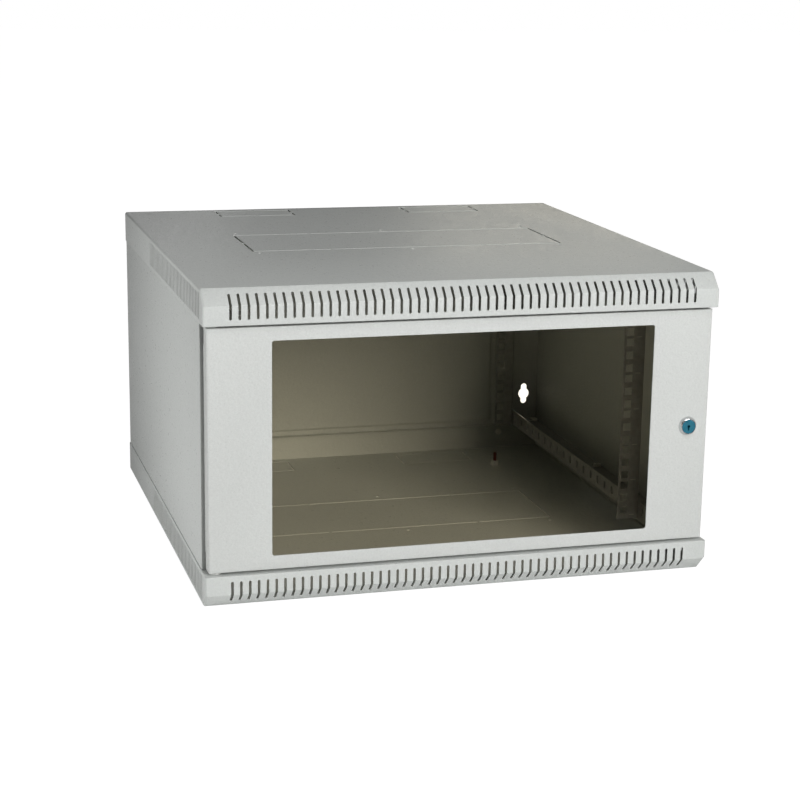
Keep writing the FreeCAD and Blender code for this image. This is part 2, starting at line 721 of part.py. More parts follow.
def save_lock():
    """Cam lock: barrel and nut on the door; plug, cam and screw turn together."""
    face = door_front - bezel_height
    barrel_rear = door_front + barrel_length
    rims = [along_lock(bezel_front_radius, face, face + 1).Faces[-2].OuterWire,
            along_lock(bezel_radius, door_front, door_front + 1).Faces[-2].OuterWire]
    bezel = Part.makeLoft(rims, True, True)
    barrel = bezel.fuse(barrel_section(0.0, door_front, barrel_rear))
    recess = along_lock(plug_head_radius + 2 * plug_fit, face - 1, face + lock_recess)
    bore = lock_spindle(plug_radius + plug_fit, face, barrel_rear + 1)
    save("lock_barrel", barrel.cut([recess, bore]))

    nut_y = door_front + sheet
    nut = hexagon(lock_nut_across, (lock_x, nut_y, mid_height),
                  (lock_x, nut_y + lock_nut_height, mid_height))
    save("lock_nut", nut.cut(along_lock(barrel_radius + plug_fit, nut_y - 1, nut_y + 2 * lock_nut_height)))

    head_rear = face + lock_recess - plug_fit
    shoulder = barrel_rear + 2 * plug_fit
    cam_rear = shoulder + cam_thickness
    square = cam_square / 2
    tail = block(lock_x - square, lock_x + square, shoulder, cam_rear - 2 * cam_fit,
                 mid_height - square, mid_height + square)
    plug = along_lock(plug_head_radius, head_rear - plug_head, head_rear)
    plug = plug.fuse([lock_spindle(plug_radius, head_rear, shoulder), tail])
    key_hole = along_lock(key_radius, face - 1, face + key_depth)
    key_slot = block(lock_x - key_blade / 2, lock_x + key_blade / 2, face - 1, face + key_depth,
                     mid_height - key_reach, mid_height)
    thread = shank(m5_radius + thread_fit, (lock_x, shoulder - cam_screw_depth - 1, mid_height),
                   (lock_x, cam_rear, mid_height))
    save("lock_plug", plug.cut([key_hole, key_slot, thread]))

    half = cam_width / 2
    cam = block(lock_x - half, lock_x + half, shoulder, cam_rear, mid_height - cam_reach + half / 2,
                mid_height)
    cam = cam.fuse([along_lock(half, shoulder, cam_rear),
                    block(lock_x - half / 2, lock_x + half / 2, shoulder, cam_rear,
                          mid_height - cam_reach, mid_height)])
    hole = square + cam_fit
    cam = cam.cut(block(lock_x - hole, lock_x + hole, shoulder - 1, cam_rear + 1,
                        mid_height - hole, mid_height + hole))
    save("lock_cam", cam.removeSplitter())

    screw = hexagon(m5_nut_across, (lock_x, cam_rear, mid_height), (lock_x, cam_rear + m5_head, mid_height))
    screw = screw.fuse(shank(m5_radius, (lock_x, shoulder - cam_screw_depth, mid_height),
                             (lock_x, cam_rear, mid_height)))
    save("lock_cam_screw", screw)


# ---- Assembly -----------------------------------------------------------------------------------
def main():
    os.makedirs("parts", exist_ok=True)
    base = pan()
    save("base", base)
    save("roof", turned_over(base))

    right_panel = side_panel()
    save("side_panel_right", right_panel)
    save("side_panel_left", mirrored_x(right_panel))
    save("rear_panel", rear_panel())

    for name, y_face in (("front", front_rail_y), ("rear", rear_rail_y)):
        rail = upright(y_face)
        save("rail_" + name + "_right", rail)
        save("rail_" + name + "_left", mirrored_x(rail))
    lower_rail = depth_rail()
    for name, rail in (("lower", lower_rail), ("upper", turned_over(lower_rail))):
        save("depth_rail_" + name + "_right", rail)
        save("depth_rail_" + name + "_left", mirrored_x(rail))

    for name, make in (("body", body_screws), ("rail", rail_screws)):
        screws, nuts = make()
        save(name + "_screws", *screws)
        save(name + "_nuts", *nuts)
    save("rear_panel_screws", *rear_screws())
    save_ground_point()

    save("door_shell", door_shell())
    save_glazing()
    save_hinges()
    save_lock()


main()
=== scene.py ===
"""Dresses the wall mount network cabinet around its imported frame: edges, fasteners, lock, paint."""
import json
import math

import bmesh
import bpy
import numpy as np
from mathutils import Euler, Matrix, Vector


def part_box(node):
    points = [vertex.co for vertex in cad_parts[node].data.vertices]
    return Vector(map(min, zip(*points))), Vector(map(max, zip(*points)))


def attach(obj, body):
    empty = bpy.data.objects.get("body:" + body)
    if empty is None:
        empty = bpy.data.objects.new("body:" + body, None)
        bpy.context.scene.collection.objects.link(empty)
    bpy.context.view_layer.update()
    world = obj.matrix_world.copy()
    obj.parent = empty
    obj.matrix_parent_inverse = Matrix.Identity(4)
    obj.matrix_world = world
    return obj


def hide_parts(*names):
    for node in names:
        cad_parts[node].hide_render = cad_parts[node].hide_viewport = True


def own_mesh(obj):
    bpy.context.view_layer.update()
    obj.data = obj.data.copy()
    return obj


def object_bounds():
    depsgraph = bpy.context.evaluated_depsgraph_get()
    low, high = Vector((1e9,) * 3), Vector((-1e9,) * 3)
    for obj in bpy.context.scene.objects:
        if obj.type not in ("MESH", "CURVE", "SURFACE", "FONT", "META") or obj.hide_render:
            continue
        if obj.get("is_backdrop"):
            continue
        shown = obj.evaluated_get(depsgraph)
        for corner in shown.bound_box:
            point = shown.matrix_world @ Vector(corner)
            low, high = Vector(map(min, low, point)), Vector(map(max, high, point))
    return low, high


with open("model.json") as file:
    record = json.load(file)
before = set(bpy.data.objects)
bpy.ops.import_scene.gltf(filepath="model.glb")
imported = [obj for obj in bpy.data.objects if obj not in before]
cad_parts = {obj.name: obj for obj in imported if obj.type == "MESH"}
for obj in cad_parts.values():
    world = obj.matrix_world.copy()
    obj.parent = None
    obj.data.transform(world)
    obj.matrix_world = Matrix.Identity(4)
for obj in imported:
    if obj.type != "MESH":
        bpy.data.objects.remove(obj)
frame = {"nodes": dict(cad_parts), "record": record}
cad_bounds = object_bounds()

bl_info = {
    "name": "Wall mount network cabinet",
    "version": (1, 0, 0),
    "blender": (4, 5, 0),
    "location": "3D View > Sidebar > Cabinet",
    "description": "Finishes the packed cabinet: folded edges, fasteners, lock, glass and paint",
    "category": "Object",
}

MM = 0.001
MERGE = 1e-6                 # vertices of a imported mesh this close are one
NEARLY = 0.05 * MM           # lengths this close count as equal
SHEET = 1.2 * MM             # sheet steel of shell and door
RACK_UNIT = 44.45 * MM
REFLECTED = 0.14             # how much of the white surroundings a reflection shows

BEHAVIOUR = frame["record"]["behaviour"]
BODY_OF = {node: body for body, nodes in BEHAVIOUR["bodies"].items() for node in nodes}
SLOT_OF = {part["node"]: part["material_slot"] for part in frame["record"]["subparts"]}
PIN_TRAVEL = next(joint["range_m"][1] for joint in BEHAVIOUR["joints"]
                  if joint["name"] == "top_pin_slide")


# ---- Sizes and colours a user would change -------------------------------------------------------
class CabinetSizes(bpy.types.PropertyGroup):
    """Small radii and turned details, which the frame draws sharp or plain."""
    fold_radius: bpy.props.FloatProperty(
        name="Fold radius", description="Outer radius of the bends in the sheet",
        default=1.6 * MM, min=0.0, unit="LENGTH", subtype="DISTANCE")
    bend_radius: bpy.props.FloatProperty(
        name="Bend radius", description="Radius added to the bends of door and pan corners",
        default=0.8 * MM, min=0.0, unit="LENGTH", subtype="DISTANCE")
    slot_radius: bpy.props.FloatProperty(
        name="Slot end radius", description="Radius of the corners of a ventilation slot",
        default=1.45 * MM, min=0.0, unit="LENGTH", subtype="DISTANCE")
    edge_radius: bpy.props.FloatProperty(
        name="Cut edge radius", description="Radius of a cut edge under its paint",
        default=0.22 * MM, min=0.0, unit="LENGTH", subtype="DISTANCE")
    slit_opening: bpy.props.FloatProperty(
        name="Slit opening",
        description="How far shearing leaves a knock-out slit wider than drawn",
        default=1.5 * MM, min=0.0, unit="LENGTH", subtype="DISTANCE")
    thread_pitch: bpy.props.FloatProperty(
        name="Thread pitch", description="Pitch of the ground stud's thread",
        default=1.0 * MM, min=0.1 * MM, unit="LENGTH", subtype="DISTANCE")
    spring_turns: bpy.props.FloatProperty(
        name="Spring turns", description="Turns of the hinge spring", default=6.0, min=1.0)
    spring_wire: bpy.props.FloatProperty(
        name="Spring wire", description="Diameter of the hinge spring's wire",
        default=0.9 * MM, min=0.0, unit="LENGTH", subtype="DISTANCE")


class CabinetColours(bpy.types.PropertyGroup):
    """Base colours of the finishes, as linear values."""
    shell: bpy.props.FloatVectorProperty(
        name="Shell paint", description="Powder coat of roof, base and panels",
        default=(0.60, 0.62, 0.60), min=0.0, max=1.0, size=3, subtype="COLOR")
    door: bpy.props.FloatVectorProperty(
        name="Door paint", description="Powder coat of the door",
        default=(0.62, 0.635, 0.615), min=0.0, max=1.0, size=3, subtype="COLOR")
    tint: bpy.props.FloatVectorProperty(
        name="Glass tint", description="What the glass lets through",
        default=(0.945, 0.915, 0.845), min=0.0, max=1.0, size=3, subtype="COLOR")
    lock_face: bpy.props.FloatVectorProperty(
        name="Lock face", description="Glossy face of the lock",
        default=(0.010, 0.125, 0.185), min=0.0, max=1.0, size=3, subtype="COLOR")


# ---- Shader maths --------------------------------------------------------------------------------
class Value:
    """An output of a node; arithmetic on it adds Math nodes."""

    def __init__(self, nodes, socket):
        self.nodes = nodes
        self.socket = socket

    def maths(self, operation, *values):
        return self.nodes.node("ShaderNodeMath", {"operation": operation}, dict(enumerate(values)))

    def __add__(self, other):
        return self.maths("ADD", self, other)

    def __radd__(self, other):
        return self.maths("ADD", other, self)

    def __sub__(self, other):
        return self.maths("SUBTRACT", self, other)

    def __rsub__(self, other):
        return self.maths("SUBTRACT", other, self)

    def __mul__(self, other):
        return self.maths("MULTIPLY", self, other)

    def __rmul__(self, other):
        return self.maths("MULTIPLY", other, self)

    def __mod__(self, other):
        return self.maths("FLOORED_MODULO", self, other)

    def __rmod__(self, other):
        return self.maths("FLOORED_MODULO", other, self)

    def __gt__(self, other):
        return self.maths("GREATER_THAN", self, other)

    def __lt__(self, other):
        return self.maths("LESS_THAN", self, other)

    def __abs__(self):
        return self.maths("ABSOLUTE", self)

    def least(self, other):
        return self.maths("MINIMUM", self, other)


class Nodes:
    """A node tree under construction: one method adds any node, the rest name common uses."""

    def __init__(self, tree, output):
        self.tree = tree
        self.tree.nodes.clear()
        self.output = self.tree.nodes.new(output)

    def put(self, socket, value):
        """Links an output to a socket, or writes a number or colour on it."""
        if isinstance(value, Value):
            self.tree.links.new(value.socket, socket)
        elif isinstance(value, tuple) and len(value) < len(socket.default_value):
            socket.default_value = (*value, 1.0)
        else:
            socket.default_value = value

    def node(self, kind, settings=None, values=None, output=0):
        """Adds a node, makes its settings, fills its sockets and returns one of its outputs."""
        made = self.tree.nodes.new(kind)
        for name, setting in (settings or {}).items():
            setattr(made, name, setting)
        for key, value in (values or {}).items():
            self.put(made.inputs[key], value)
        return Value(self, made.outputs[output])

    def blend(self, factor, first, second):
        """Mixes two shaders."""
        return self.node("ShaderNodeMixShader", values={0: factor, 1: first, 2: second})

    def show(self, shader):
        """Makes a shader the surface of the material or world."""
        self.put(self.output.inputs["Surface"], shader)


class Finish(Nodes):
    """A material under construction, with one principled shader."""

    def __init__(self, name):
        self.material = bpy.data.materials.new(name)
        self.material.use_nodes = True
        super().__init__(self.material.node_tree, "ShaderNodeOutputMaterial")
        self.surface = self.node("ShaderNodeBsdfPrincipled")
        self.show(self.surface)

    def place(self):
        return self.node("ShaderNodeTexCoord", output="Object")

    def axis(self, name):
        return self.node("ShaderNodeSeparateXYZ", values={0: self.place()}, output=name)

    def noise(self, scale, detail=2.0, roughness=0.5):
        return self.node("ShaderNodeTexNoise", {"noise_dimensions": "3D"},
                         {"Vector": self.place(), "Scale": scale, "Detail": detail,
                          "Roughness": roughness})

    def cells(self, scale):
        return self.node("ShaderNodeTexVoronoi", {"feature": "F1"},
                         {"Vector": self.place(), "Scale": scale}, "Distance")

    def mix(self, factor, first, second):
        return self.node("ShaderNodeMix", {"data_type": "RGBA", "blend_type": "MIX"},
                         {0: factor, 6: first, 7: second}, 2)

    def remap(self, value, low, high, to_low, to_high):
        return self.node("ShaderNodeMapRange", {},
                         {"Value": value, "From Min": low, "From Max": high,
                          "To Min": to_low, "To Max": to_high})

    def bump(self, height, distance, strength):
        self.set(Normal=self.node("ShaderNodeBump", {}, {"Height": height, "Distance": distance,
                                                         "Strength": strength}))

    def set(self, **values):
        """Fills sockets of the principled shader, named with _ for a space."""
        for name, value in values.items():
            self.put(self.surface.socket.node.inputs[name.replace("_", " ")], value)


def shade(colour, share):
    """A colour times a number."""
    return tuple(min(1.0, part * share) for part in colour)


# ---- Finishes ------------------------------------------------------------------------------------
def powder_coat(name, colour):
    """Fine-textured powder coat: small grains, orange peel, faint clouding and a satin gloss."""
    paint = Finish(name)
    grain = paint.noise(scale=1500.0, detail=2.0, roughness=0.6)
    speck = paint.noise(scale=420.0, detail=3.0, roughness=0.65)
    peel = paint.noise(scale=190.0, detail=2.0, roughness=0.6)
    cloud = paint.noise(scale=5.0, detail=3.0)
    tone = paint.remap(grain * 0.5 + speck * 0.5, 0.35, 0.65, 0.0, 1.0)
    speckled = paint.mix(tone, shade(colour, 0.93), shade(colour, 1.06))
    clouded = paint.mix(paint.remap(cloud, 0.35, 0.65, 0.0, 0.12), speckled, shade(colour, 0.86))
    gloss = paint.remap(speck * 0.5 + peel * 0.5, 0.35, 0.65, 0.24, 0.56)
    paint.set(Base_Color=clouded, Roughness=gloss, Specular_IOR_Level=0.3)
    paint.bump(grain * 0.1 + speck * 0.4 + peel, distance=0.55 * MM, strength=0.9)
    return paint.material


def zinc(name, colour, metal, marks=False):
    """Zinc plate: metal with a soft spangle and fine drawing marks."""
    plate = Finish(name)
    spangle = plate.cells(scale=160.0)
    cloud = plate.noise(scale=22.0, detail=4.0, roughness=0.6)
    drawing = plate.noise(scale=900.0, detail=1.0)
    tone = plate.remap(cloud * 0.7 + spangle * 0.5, 0.25, 0.75, 0.0, 1.0)
    base = plate.mix(tone, shade(colour, 0.84), shade(colour, 1.06))
    if marks:
        light_line = (0.62, 0.62, 0.58)
        base = plate.mix(unit_marks(plate), base, light_line)
    gloss = plate.remap(cloud * 0.6 + drawing * 0.4, 0.3, 0.7, 0.30, 0.46)
    plate.set(Base_Color=base, Roughness=gloss, Metallic=metal)
    plate.bump(drawing, distance=0.02 * MM, strength=0.4)
    return plate.material


def unit_marks(finish):
    """Mask of the short lines that mark each rack unit on the front of the uprights."""
    half_line = 0.45 * MM
    from_edge = (5.0 * MM, 11.5 * MM)
    skin = 0.2 * MM
    low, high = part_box("rail_front_right")
    units = int((high[2] - low[2]) / RACK_UNIT)
    first = (low[2] + high[2]) / 2 - units * RACK_UNIT / 2
    away = finish.axis("Z") - first + RACK_UNIT / 2
    on_line = abs(away % RACK_UNIT - RACK_UNIT / 2) < half_line
    across = abs(finish.axis("X"))
    span = (across > high[0] - from_edge[1]) * (across < high[0] - from_edge[0])
    front = finish.axis("Y") < low[1] + skin
    return on_line * span * front


def tinted_glass(name, tint):
    """Bronze glass: coloured see-through sheet under a thin, faint reflection."""
    glass = Finish(name)
    smear = glass.noise(scale=9.0, detail=4.0, roughness=0.6)
    glass.set(Base_Color=shade(tint, 0.06), Roughness=glass.remap(smear, 0.3, 0.7, 0.02, 0.05),
              Specular_IOR_Level=0.5)
    through = glass.node("ShaderNodeBsdfTransparent", values={"Color": tint})
    shine = glass.node("ShaderNodeFresnel", values={"IOR": 1.45}) * 0.1
    glass.show(glass.blend(shine, through, glass.surface))
    return glass.material


def soft_black(name, colour, rough):
    """Black rubber or nylon with a fine grain."""
    rubber = Finish(name)
    grain = rubber.noise(scale=1100.0, detail=3.0, roughness=0.6)
    rubber.set(Base_Color=rubber.mix(grain, shade(colour, 0.7), shade(colour, 1.5)),
               Roughness=rubber.remap(grain, 0.3, 0.7, rough - 0.06, rough + 0.08))
    rubber.bump(grain, distance=0.04 * MM, strength=0.5)
    return rubber.material


def polished(name, colour, rough, metal=1.0):
    """Plated or turned metal with faint rubbing."""
    plate = Finish(name)
    rub = plate.noise(scale=260.0, detail=4.0, roughness=0.65)
    plate.set(Base_Color=plate.mix(rub, shade(colour, 0.9), shade(colour, 1.04)),
              Roughness=plate.remap(rub, 0.3, 0.7, rough, rough + 0.10), Metallic=metal)
    plate.bump(rub, distance=0.01 * MM, strength=0.3)
    return plate.material


def gloss_face(name, colour):
    """Glossy lacquered face of the lock."""
    lacquer = Finish(name)
    drift = lacquer.noise(scale=180.0, detail=3.0)
    lacquer.set(Base_Color=lacquer.mix(drift, shade(colour, 0.7), shade(colour, 1.5)),
                Roughness=lacquer.remap(drift, 0.3, 0.7, 0.12, 0.2),
                Coat_Weight=0.25, Specular_IOR_Level=0.3)
    return lacquer.material


FINISHES = {}


def make_finishes(colours):
    """One material per slot of the record."""
    FINISHES.update({
        "shell_paint": powder_coat("shell_paint", tuple(colours.shell)),
        "door_paint": powder_coat("door_paint", tuple(colours.door)),
        "tinted_glass": tinted_glass("tinted_glass", tuple(colours.tint)),
        "black_tape": soft_black("black_tape", (0.012, 0.012, 0.012), 0.6),
        "black_nylon": soft_black("black_nylon", (0.02, 0.02, 0.02), 0.5),
        "zinc_rail": zinc("zinc_rail", (0.36, 0.36, 0.345), 0.35, marks=True),
        "zinc_fastener": zinc("zinc_fastener", (0.82, 0.82, 0.80), 0.6),
        "spring_steel": polished("spring_steel", (0.5, 0.5, 0.52), 0.25),
        "copper_stud": polished("copper_stud", (0.20, 0.055, 0.03), 0.35, 0.6),
        "chrome": polished("chrome", (0.66, 0.67, 0.68), 0.05),
        "lock_face": gloss_face("lock_face", tuple(colours.lock_face)),
    })


# ---- Pieces --------------------------------------------------------------------------------------
def add_piece(name, mesh, node):
    """Puts a finished mesh in the scene in place of its node, on the node's body."""
    piece = bpy.data.objects.new(name, mesh)
    bpy.context.scene.collection.objects.link(piece)
    slot = SLOT_OF[node]
    mesh.materials.clear()
    mesh.materials.append(FINISHES[slot])
    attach(piece, BODY_OF[node])
    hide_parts(node)
    return piece


def face_width(face):
    """Twice the area over the perimeter: near the true width of a long narrow face."""
    return 2 * face.calc_area() / sum(edge.calc_length() for edge in face.edges)


def is_slot_corner(edge):
    """A short edge through the sheet, at the corner of a ventilation slot in front or side."""
    along = edge.verts[1].co - edge.verts[0].co
    length = along.length
    if abs(length - SHEET) > NEARLY or len(edge.link_faces) != 2 or abs(along.z) > 0.9 * length:
        return False
    side_wall = cad_bounds[1][0] - 2 * MM
    front_depth = cad_bounds[0][1] + 25 * MM
    middle = (edge.verts[0].co + edge.verts[1].co) / 2
    on_side = abs(along.x) > 0.9 * length and abs(middle.x) > side_wall
    on_front = abs(along.x) < 0.1 * length and middle.y < front_depth
    return (on_side or on_front) and edge.calc_face_angle(0.0) > math.radians(60)


def is_fold(edge):
    """An outer bend between two skins of the sheet, neither of them a cut edge."""
    if len(edge.link_faces) != 2 or not edge.is_convex:
        return False
    cut_edge = 1.6 * MM
    wide = all(face_width(face) > cut_edge for face in edge.link_faces)
    return wide and edge.calc_face_angle(0.0) > math.radians(15)


def smooth(mesh, sharp=35.0):
    """Smooth shading, kept apart where faces meet more sharply than the given degrees."""
    mesh.polygons.foreach_set("use_smooth", np.ones(len(mesh.polygons), bool))
    mesh.set_sharp_from_angle(angle=math.radians(sharp))
    mesh.update()


def open_slits(form, low, high, opening):
    """Moves apart the long walls of the knock-out slits in the level plate from low to high."""
    shortest = 5 * MM
    for face in form.faces:
        heights = [vert.co.z for vert in face.verts]
        through = abs(min(heights) - low) < NEARLY and abs(max(heights) - high) < NEARLY
        if through and abs(face.normal.z) < 0.01 and face.calc_area() > shortest * (high - low):
            for vert in face.verts:
                vert.co -= face.normal * opening / 2


def dress(node, name, fold=0.0, slots=0.0, edge=0.0, slits=None):
    """Copies a node's mesh, merges it, rounds its slots and folds, and softens its cut edges.

    Fold, slots and edge are radii; slits holds the heights of the plate and the slits' opening.
    """
    mesh = frame["nodes"][node].data.copy()
    mesh.name = name
    form = bmesh.new()
    form.from_mesh(mesh)
    bmesh.ops.remove_doubles(form, verts=form.verts, dist=MERGE)
    bmesh.ops.dissolve_limit(form, angle_limit=math.radians(0.5), verts=form.verts,
                             edges=form.edges)
    if slits:
        open_slits(form, *slits)
    if slots:
        corners = [one for one in form.edges if is_slot_corner(one)]
        bmesh.ops.bevel(form, geom=corners, offset=slots, offset_type="OFFSET", segments=4,
                        profile=0.5, affect="EDGES", clamp_overlap=True)
    if fold:
        bends = [one for one in form.edges if is_fold(one)]
        bmesh.ops.bevel(form, geom=bends, offset=fold, offset_type="OFFSET", segments=3,
                        profile=0.5, affect="EDGES", clamp_overlap=True)
    form.to_mesh(mesh)
    form.free()
    smooth(mesh)
    piece = add_piece(name, mesh, node)
    if edge:
        soften(piece, edge)


def soften(piece, radius):
    """Bevel on every edge that is still sharp."""
    bevel = piece.modifiers.new("cut edges", "BEVEL")
    bevel.width = radius
    bevel.segments = 2
    bevel.limit_method = "ANGLE"
    bevel.angle_limit = math.radians(40)
    bevel.harden_normals = True
    bevel.use_clamp_overlap = True


def surface_mesh(name, points, faces_across, faces_along):
    """Mesh of a grid of points; a direction with as many faces as points closes on itself."""
    rows, columns = points.shape[:2]
    row = np.arange(rows if faces_across == rows else rows - 1)[:, None]
    column = np.arange(columns if faces_along == columns else columns - 1)[None, :]
    next_row = (row + 1) % rows
    next_column = (column + 1) % columns
    quads = np.stack([row * columns + column, next_row * columns + column,
                      next_row * columns + next_column, row * columns + next_column], axis=-1)
    mesh = bpy.data.meshes.new(name)
    mesh.from_pydata(points.reshape(-1, 3).tolist(), [], quads.reshape(-1, 4).tolist())
    return mesh


def outward(mesh):
    """Merges doubles and turns the faces outwards."""
    form = bmesh.new()
    form.from_mesh(mesh)
    bmesh.ops.remove_doubles(form, verts=form.verts, dist=MERGE)
    bmesh.ops.recalc_face_normals(form, faces=form.faces)
    form.to_mesh(mesh)
    form.free()
    return mesh


def turned(name, profile, centre, axis, segments=64):
    """Closed profile of (radius, along) turned about an axis.

    A point at angle a is centre + axis * along + radius * (cos a * first + sin a * second), where
    first and second are two unit vectors square to the axis.
    """
    profile = np.array(profile) * MM
    axis = np.array(axis, float)
    first = np.cross(axis, (0.0, 0.0, 1.0) if abs(axis[2]) < 0.9 else (1.0, 0.0, 0.0))
    first /= np.linalg.norm(first)
    second = np.cross(axis, first)
    angle = np.linspace(0, 2 * np.pi, segments, endpoint=False)[:, None, None]
    out = np.cos(angle) * first + np.sin(angle) * second
    points = np.array(centre) + profile[None, :, 1:2] * axis + profile[None, :, 0:1] * out
    mesh = outward(surface_mesh(name, points, segments, len(profile)))
    smooth(mesh, 30.0)
    return mesh


def joined(name, meshes):
    """Several meshes as one."""
    form = bmesh.new()
    for mesh in meshes:
        form.from_mesh(mesh)
    whole = bpy.data.meshes.new(name)
    form.to_mesh(whole)
    form.free()
    smooth(whole, 30.0)
    return whole


def node_middle(node):
    """Centre of a node's box."""
    low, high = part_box(node)
    return (Vector(low) + Vector(high)) / 2


def solid_boxes(node):
    """Opposite corners of each separate solid in a node's mesh, in a fixed order."""
    form = bmesh.new()
    form.from_mesh(frame["nodes"][node].data)
    bmesh.ops.remove_doubles(form, verts=form.verts, dist=MERGE)
    left = set(form.verts)
    boxes = []
    while left:
        solid = {left.pop()}
        edge = list(solid)
        while edge:
            near = {link.other_vert(vert) for vert in edge for link in vert.link_edges} - solid
            solid |= near
            edge = list(near)
        left -= solid
        places = np.array([vert.co for vert in solid])
        boxes.append((places.min(axis=0), places.max(axis=0)))
    form.free()
    return sorted(boxes, key=lambda box: tuple(box[0]))


def rounded_ring(bore, radius, rise, round_off=0.25):
    """Profile of a washer with rounded outer edges: (radius, height) in millimetres."""
    return [(bore, 0.0), (radius - round_off, 0.0), (radius, round_off), (radius, rise - round_off),
            (radius - round_off, rise), (bore, rise)]


def pan_screw(name, low, high, axis):
    """Cross-recessed pan head on a plain shank, within a box and along one of its axes.

    The head at radius r and angle a stands at rise * (1 - (r / radius)^4 / 2), less a recess of
    four arms. A point is in an arm where r * min(abs(sin a), abs(cos a)) is under arm_half and r
    under arm_reach, both as shares of the radius, and the walls slope over arm_slope and end_slope.
    """
    sides = 64
    arm_half, arm_slope = 0.13, 0.05
    arm_reach, end_slope = 0.62, 0.1
    depth = 0.55
    low, high = np.array(low), np.array(high)
    middle = (low + high) / 2
    across = [index for index in range(3) if index != axis]
    radius = (high - low)[across].min() / 2
    facing = -1.0 if axis == 1 or middle[0] > 0 else 1.0
    tip, face = (high, low) if facing < 0 else (low, high)
    rise = min(3.0 * MM, (high - low)[axis] / 2)
    angle = np.linspace(0, 2 * np.pi, sides, endpoint=False)[:, None]
    # The head's rings, closest together over the recess and at the rim.
    share = np.r_[0.0, np.linspace(0.06, 0.66, 11), 0.78, 0.9, 0.97, 1.0][None, :]
    arm = np.minimum(abs(np.sin(angle)), abs(np.cos(angle))) * share
    recess = np.clip((arm_half - arm) / arm_slope, 0, 1)
    recess = recess * np.clip((arm_reach - share) / end_slope, 0, 1)
    height = rise * (1 - share ** 4 / 2 - depth * recess)
    ring = np.broadcast_to(share * radius, height.shape)
    neck = 0.45 * radius
    end = abs(face[axis] - tip[axis]) - rise
    tail_ring = np.broadcast_to(np.array([radius, neck, neck, 0.8 * neck, 0.0]), (sides, 5))
    tail_height = np.broadcast_to(np.array([0.0, 0.0, -end + 0.4 * MM, -end, -end]), (sides, 5))
    ring = np.concatenate([ring, tail_ring], axis=1)
    height = np.concatenate([height, tail_height], axis=1)
    points = np.empty((*ring.shape, 3))
    points[..., across[0]] = middle[across[0]] + ring * np.cos(angle)
    points[..., across[1]] = middle[across[1]] + ring * np.sin(angle)
    points[..., axis] = face[axis] - facing * rise + facing * height
    return outward(surface_mesh(name, points, sides, ring.shape[1] - 1))


def threaded(name, low, high, pitch):
    """Upright threaded rod within a box.

    At height z and angle a the radius is root + depth * abs(2 * frac(z / pitch - a / 2 pi) - 1),
    and it draws in to the root at both ends.
    """
    low, high = np.array(low), np.array(high)
    centre = (low + high) / 2
    radius = (high - low)[:2].min() / 2
    depth = 0.5 * pitch
    sides, rings_per_turn = 24, 6
    angle = np.linspace(0, 2 * np.pi, sides, endpoint=False)[:, None]
    length = high[2] - low[2]
    rise = np.linspace(0, length, int(length / pitch * rings_per_turn) + 1)[None, :]
    ridge = abs(2 * ((rise / pitch - angle / (2 * np.pi)) % 1.0) - 1)
    ends = np.clip(np.minimum(rise, rise[0, -1] - rise) / pitch, 0, 1)
    out = radius - depth + depth * ridge * ends
    out = np.concatenate([0 * angle, out, 0 * angle], axis=1)
    rise = np.concatenate([rise[:, :1], rise, rise[:, -1:]], axis=1)
    points = np.stack([centre[0] + out * np.cos(angle), centre[1] + out * np.sin(angle),
                       low[2] + rise + 0 * angle], axis=-1)
    mesh = outward(surface_mesh(name, points, sides, rise.shape[1] - 1))
    smooth(mesh, 60.0)
    return mesh


def coil(name, centre, low, high, radius, wire, turns):
    """Round wire along a helix whose ends lie flat.

    At share s of its length the wire's middle stands at angle 2 pi turns s and at height
    low + wire/2 + (high - low - wire) * rise(s), and a round section is carried along it.
    The rise is 0 over the first three quarters of a turn, 1 over the last, and even between.
    """
    rings_per_turn, section_sides = 28, 10
    share = np.linspace(0, 1, int(turns * rings_per_turn) + 1)
    angle = 2 * np.pi * turns * share
    flat = 0.75 / turns
    rise = np.clip((share - flat) / (1 - 2 * flat), 0, 1)
    height = low + wire / 2 + (high - low - wire) * rise
    middle = np.stack([centre[0] + radius * np.cos(angle),
                       centre[1] + radius * np.sin(angle), height], 1)
    along = np.gradient(middle, axis=0)
    along /= np.linalg.norm(along, axis=1)[:, None]
    out = np.stack([np.cos(angle), np.sin(angle), 0 * angle], 1)
    side = np.cross(along, out)
    turn = np.linspace(0, 2 * np.pi, section_sides, endpoint=False)[:, None, None]
    points = middle + wire / 2 * (np.cos(turn) * out + np.sin(turn) * side)
    mesh = surface_mesh(name, points, section_sides, len(share) - 1)
    form = bmesh.new()
    form.from_mesh(mesh)
    rims = [one for one in form.edges if one.is_boundary]
    bmesh.ops.holes_fill(form, edges=rims)
    bmesh.ops.recalc_face_normals(form, faces=form.faces)
    form.to_mesh(mesh)
    form.free()
    smooth(mesh, 50.0)
    return mesh


# ---- Operators -----------------------------------------------------------------------------------
class CABINET_OT_finishes(bpy.types.Operator):
    """Makes the paints, plates, glass and rubber"""
    bl_idname = "cabinet.finishes"
    bl_label = "Finishes"

    def execute(self, context):
        make_finishes(context.scene.cabinet_colours)
        return {"FINISHED"}


class CABINET_OT_shell(bpy.types.Operator):
    """Rounds the folds and slots of roof, base and panels"""
    bl_idname = "cabinet.shell"
    bl_label = "Shell"

    def execute(self, context):
        sizes = context.scene.cabinet_sizes
        for node, side in (("base", 0), ("roof", 1)):
            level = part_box(node)[side][2]
            plate = sorted((level, level + (1 - 2 * side) * SHEET))
            dress(node, node + "_pan", fold=sizes.bend_radius, slots=sizes.slot_radius,
                  edge=sizes.edge_radius, slits=(*plate, sizes.slit_opening))
        for node in ("side_panel_left", "side_panel_right", "rear_panel"):
            dress(node, node + "_sheet", fold=sizes.fold_radius, edge=sizes.edge_radius)
        return {"FINISHED"}


